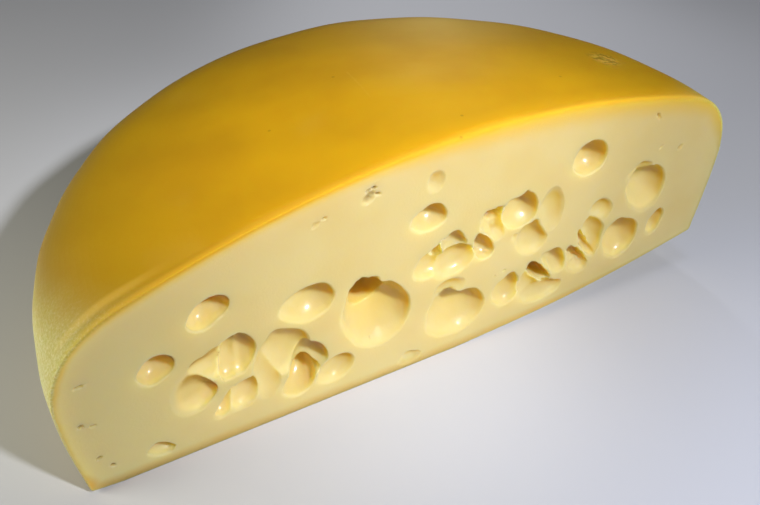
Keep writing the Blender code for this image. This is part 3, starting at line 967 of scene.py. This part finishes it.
def rind_depth(place):
    """Millimetres under the nearest part of the rind, and the height in the wheel."""
    dome, side, underside = wheel_outline()
    wheel_place = add_node("ShaderNodeMapping", {"vector_type": "TEXTURE"},
                           {"Vector": place, "Location": AXIS_PLACE,
                            "Rotation": (0.0, -TILT, 0.0)})
    x, y, height = split(wheel_place)
    radius = (x * x + y * y) ** 0.5
    top_points = [(p.x, p.z) for p in dome] + [(CURVE_SPAN, BELLY_HEIGHT)]
    side_points = [(p.z, p.x) for p in reversed(dome[8:] + side)] + [(CURVE_SPAN, BREAK_RADIUS)]
    sole_points = [(p.x, p.z) for p in reversed(underside[:-1])] + [(CURVE_SPAN, FOOT_HEIGHT)]
    top = read_curve(top_points, radius)
    rim = read_curve(side_points, height)
    sole = read_curve([(0.0, 0.0)] + sole_points, radius)
    ground = split(place)[2]
    return (top - height).lower(rim - radius).lower((height - sole).lower(ground)), height


def read_curve(points, value):
    """The outline's second measure at a first measure, both in millimetres."""
    curve = add_node("ShaderNodeFloatCurve", {"points": outline_curve(points)},
                     {"Value": value / CURVE_SPAN})
    return curve * CURVE_SPAN


print("outline curves have", len(wheel_outline()[0]), "points over the dome")

# %% [markdown]
# ## The paste
#
# Paste is pale and moist and lets light in, so it has a strong subsurface glow that warms
# the shaded walls of the eyes. Its colour isn't one colour: it is richer in patches, paler
# at the left end, and yellower towards the rind, in a band that is wide under the dome and
# narrow at the side. Near the ground the band is wider and more orange, partly painted contact
# shade.
# Inside an eye the wall is glossy and gets deeper in colour with depth, partly its own colour
# and partly painted shade, and it is painted lighter towards both ends. Its roof, the wall that
# faces down, carries painted shade: golden, darker at the left and lighter deep in the pocket.

# %% Colours of the paste
PASTE = colour(222, 202, 138)
PASTE_RICH = colour(220, 197, 129)
PASTE_PALE = colour(228, 214, 150)
PASTE_AT_DOME = colour(223, 185, 64)
PASTE_AT_SIDE = colour(196, 166, 82)
# near the ground: the yellow band under the rind, partly painted contact shade
PASTE_AT_SOLE_SHADED = colour(224, 172, 84)
EYE_WALL = colour(222, 203, 138)
# deeper in the eye: partly the paste's own colour, partly painted shade of the deep walls
EYE_DEEP = colour(226, 196, 106)
# painted light: eye walls lighter towards both ends
EYE_PAINTED_LIGHT = colour(248, 226, 150)
# painted shade on the roofs of the eyes: golden, darker at the left, lighter deep in the pocket
ROOF_SHADE = colour(222, 185, 50)
ROOF_SHADE_LEFT = colour(186, 138, 20)
ROOF_SHADE_DEEP = colour(255, 226, 94)
# painted shade inside the small tears
PIT_SHADE = colour(120, 88, 26)
PASTE_TRANSLUCENCY = {"Subsurface Weight": 0.9, "Subsurface Scale": 20.0 * MM,
                      "Subsurface Radius": (1.0, 0.82, 0.42)}
EYE_STARTS = (0.3, 2.5)       # millimetres behind the cut face


def face_colour(place, depth, height):
    """The cut face: patches, a pale left end and a yellow band under the rind, wider and more
    orange near the ground, partly as painted contact shade.
    """
    x, _, z = split(place)
    body = layers(PASTE, (fade(cloud(place, 45.0, 2.0), 0.35, 0.7), PASTE_RICH),
                  (fall(x, -200.0, -110.0), PASTE_PALE))
    up = fade(height, *SIDE_TO_DOME)
    # partly painted contact shade: the band is wider and more orange near the ground
    low = fall(z, 5.0, 18.0)
    skin = layers(PASTE_AT_SIDE, (up, PASTE_AT_DOME), (low, PASTE_AT_SOLE_SHADED))
    reach = 4.0 + 5.0 * low + up * (2.5 + 8.5 * fade(x, -70.0, 50.0))
    band = fall((depth + cloud(place, 12.0) * 2.0) / reach, 0.1, 1.2)
    return layers(body, (band ** 1.2, skin))


def eye_colour(place, behind):
    """The wall of an eye, with painted shade on its roof and in the small tears, and painted
    lighter towards both ends.
    """
    x, _, _ = split(place)
    roof, pit = [add_node("ShaderNodeAttribute", {"attribute_name": name}, output="Fac")
                 for name in ("roof", "pit")]
    # painted shade: the roofs are darker towards the left end
    left_roof_shade = fade(roof, 0.15, 0.7) * fall(x, -140.0, -72.0)
    roof_shade_colour = layers(ROOF_SHADE, (left_roof_shade, ROOF_SHADE_LEFT), (fade(behind, 8.0, 18.0), ROOF_SHADE_DEEP))
    return layers(EYE_WALL, (fade(behind, 2.0, 20.0), EYE_DEEP),
                  (fade(abs(x), 70.0, 135.0) * 0.7, EYE_PAINTED_LIGHT), (roof.higher(left_roof_shade), roof_shade_colour),
                  (pit * 0.6, PIT_SHADE))


print("pale paste is", [round(part, 2) for part in PASTE[:3]], "in linear light")

# %% The paste's shader
# The cut face is dull and faintly grained by the saw. An eye is glossy and gently dented,
# and crumbly at the left end.
def paste_shader(place, depth, height):
    """The cut face and the eyes."""
    x, y, _ = split(place)
    behind = y - CUT_Y
    in_eye = fade(behind, *EYE_STARTS)
    shade = layers(face_colour(place, depth, height), (in_eye, eye_colour(place, behind)))
    gloss = fade(behind, 2.0, 6.0)
    rough = 0.6 + 0.3 * fall(depth, 0.5, 4.0) - gloss * (0.4 - 0.3 * cloud(place, 4.0))
    grain = cloud(place, 1.4, 4.0, 0.6) * (1.0 - in_eye)
    crumbly = 0.5 * cloud(place, 1.8, 2.0) * fall(x, -120.0, -95.0)
    dents = (cloud(place, 5.0, 2.0) + crumbly) * in_eye
    bump = add_node("ShaderNodeBump", {},
                    {"Strength": 0.25, "Distance": 0.4 * MM, "Height": grain + 2.0 * dents})
    return add_node("ShaderNodeBsdfPrincipled", {},
                    {"Base Color": shade, "Roughness": rough, "Normal": bump, "IOR": 1.4,
                     "Coat Weight": gloss * 0.5, "Coat Roughness": 0.16, **PASTE_TRANSLUCENCY})


print("paste shader ready")

# %% [markdown]
# ## The rind
#
# Rind is drier than paste and lets less light in. It is golden on the dome, and olive down its
# shoulder, partly its own tone and partly painted shade that is stronger at the left. Round the
# side it is pale and bloomed, where it ripened against damp cloth. The bloom is fine and
# speckled and climbs higher near the cut. Beside the cut the gold carries a painted glow with a
# painted highlight along the edge, and a painted highlight lies on the streak beside the fold at
# the left. The dome has a few marks of handling: a scuff far at the right, a faint scratch and
# some dark specks.

# %% Colours of the rind
RIND_GOLD = colour(214, 163, 13)
RIND_DEEP = colour(200, 148, 10)
# olive: partly the rind's own tone, partly painted shade down the shoulder, stronger at the left;
# also the scuff's base
RIND_OLIVE = colour(152, 123, 12)
# painted glow: lighter gold beside the cut
RIND_GLOW_PAINTED = colour(226, 170, 16)
# painted highlight along the cut edge
RIND_LIP_HIGHLIGHT = colour(234, 190, 60)
# painted highlight on the rind's ridge beside the fold at the left
RIND_STREAK_HIGHLIGHT = colour(232, 186, 74)
RIND_SIDE = colour(216, 212, 160)
RIND_SIDE_DARK = colour(188, 180, 92)
RIND_FOOT = colour(204, 182, 122)
RIND_TRANSLUCENCY = {"Subsurface Weight": 0.5, "Subsurface Scale": 8.0 * MM,
                     "Subsurface Radius": (1.0, 0.55, 0.12)}


def dome_colour(place, behind, height, mottle):
    """The golden rind: olive down the shoulder, partly painted shade that is stronger at the left,
    with a painted glow and highlight beside the cut and a painted highlight on the streak at the
    left.
    """
    x, _, _ = split(place)
    # partly painted shade: olive down the shoulder, stronger towards the left
    shoulder = fall(height, 104.0, 148.0) * (1.0 - 0.5 * fade(x, -100.0, 100.0))
    # painted glow beside the cut
    glow = fall(behind, 0.0, 16.0) * fade(x, -170.0, -20.0)
    glow = (glow * 0.8).higher(fall(behind, 1.0, 4.5) * 0.5)
    # painted highlight on the ridge beside the fold
    lit_streak = fall(abs(behind - 8.5), 0.5, 3.5) * fall(x, -165.0, -132.0)
    return layers(RIND_GOLD, (fade(mottle, 0.3, 0.75), RIND_DEEP), (shoulder * 0.9, RIND_OLIVE),
                  (glow, RIND_GLOW_PAINTED), (0.15 * fall(behind, 1.0, 4.0), RIND_LIP_HIGHLIGHT),
                  (lit_streak * 0.5, RIND_STREAK_HIGHLIGHT))


def side_colour(place, height):
    """The pale rind: speckled bloom, warmer towards the foot."""
    _, _, z = split(place)
    bloom = fade(cloud(place, 1.4, 3.0, 0.6) + (86.0 - height) / 160.0, 0.2, 0.7)
    return layers(RIND_SIDE_DARK, (bloom, RIND_SIDE), (fall(z, 0.0, 70.0), RIND_FOOT))


print("rind colours ready")

# %% Marks of handling, in millimetres
SCUFF = (138.0, -51.0, 134.0)
SCRATCH = ((-8.5, -14.0), (-13.2, -45.7))
SPECKS = ((-17.0, -14.5, 141.5), (15.2, -84.4, 150.4), (5.0, -99.0, 150.3), (31.0, -38.0, 147.6),
          (-66.0, -41.0, 138.4), (88.0, -70.0, 145.6))
RIND_SPECK = colour(96, 64, 10)
RIND_SCUFF = colour(228, 184, 70)


def from_point(place, point):
    """Millimetres from a point given in millimetres."""
    apart = add_node("ShaderNodeVectorMath", {"operation": "DISTANCE"},
                     {0: place, 1: Vector(point) * MM}, "Value")
    return apart / MM


def from_line(place, start, end):
    """Millimetres from a straight line between two points, seen from above."""
    x, y, _ = split(place)
    run = Vector(end) - Vector(start)
    middle = (Vector(start) + Vector(end)) / 2.0
    along, across = run.normalized(), run.orthogonal().normalized()
    ahead = (x - middle.x) * along.x + (y - middle.y) * along.y
    aside = (x - middle.x) * across.x + (y - middle.y) * across.y
    past = (abs(ahead) - run.length / 2.0).higher(0.0)
    return (aside * aside + past * past) ** 0.5


def mark_rind(place, shade):
    """Lay the scuff, the scratch and the specks over a colour. Gives the colour and a relief."""
    crumbs = cloud(place, 3.2, 3.0, 0.6)
    rubbed = fall(from_point(place, SCUFF) + crumbs * 8.0, 9.0, 16.0)
    scuff = layers(RIND_OLIVE, (fade(crumbs, 0.42, 0.58), RIND_SCUFF))
    scratch = fall(from_line(place, *SCRATCH) + crumbs * 1.4, 0.6, 1.5)
    shade = layers(shade, (rubbed * 0.75, scuff), (scratch * 0.2, RIND_SCUFF),
                   *[(fall(from_point(place, speck), 0.4, 1.2) * 0.32, RIND_SPECK)
                     for speck in SPECKS])
    return shade, rubbed * crumbs * 2.5


print(len(SPECKS), "specks on the dome")

# %% The rind's shader
def rind_shader(place, height):
    """The dome's golden rind and the side's pale one."""
    behind = split(place)[1] - CUT_Y
    mottle = cloud(place, 60.0, 3.0, 0.45)
    wander = (cloud(place, 30.0) - 0.5) * 8.0
    up = fade(height + wander + 0.4 * (behind.lower(90.0) - 25.0), 92.0, 124.0)
    shade, relief = mark_rind(place, layers(side_colour(place, height),
                                            (up, dome_colour(place, behind, height, mottle))))
    rough = 0.46 + 0.12 * mottle + 0.1 * (1.0 - up) + 0.35 * fall(behind, 1.0, 6.0)
    grain = cloud(place, 1.1, 3.0, 0.6) * (0.7 - 0.5 * up) + cloud(place, 6.0, 2.0)
    bump = add_node("ShaderNodeBump", {},
                    {"Strength": 0.3, "Distance": 0.35 * MM, "Height": grain + relief})
    return add_node("ShaderNodeBsdfPrincipled", {},
                    {"Base Color": shade, "Roughness": rough, "Normal": bump, "IOR": 1.45,
                     **RIND_TRANSLUCENCY})


print("rind shader ready")

# %% [markdown]
# ## One material for both
#
# Rind grades into paste with no seam, so both are one material, and the depth under the rind
# decides which one shows. The line between them is soft under the dome and sharper at the
# side.

# %% Mix rind and paste by depth
RIND_SKIN = 0.4    # millimetres of the side that stay rind, however low its swells dip
SIDE_BLEND = 0.8   # millimetres over which rind turns to paste
DOME_BLEND = 3.2


def mix_shaders():
    """Rind outside, paste inside, with a soft line between them."""
    place = add_node("ShaderNodeTexCoord", output="Object")
    depth, height = rind_depth(place)
    side = fall(height, *SIDE_TO_DOME)
    width = DOME_BLEND - (DOME_BLEND - SIDE_BLEND) * side
    inside = fade((depth - RIND_SKIN * side) / width, 0.05, 1.0)
    both = add_node("ShaderNodeMixShader", {}, {0: inside, 1: rind_shader(place, height),
                                                2: paste_shader(place, depth, height)})
    end = TREE.nodes.new("ShaderNodeOutputMaterial")
    TREE.links.new(both.socket, end.inputs["Surface"])


mix_shaders()
cheese.data.materials.clear()
cheese.data.materials.append(material)
print("cheese material:", len(TREE.nodes), "nodes")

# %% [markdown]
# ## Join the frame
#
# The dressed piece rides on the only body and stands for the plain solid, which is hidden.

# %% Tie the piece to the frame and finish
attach(cheese, "root")
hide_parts("cheese_half")
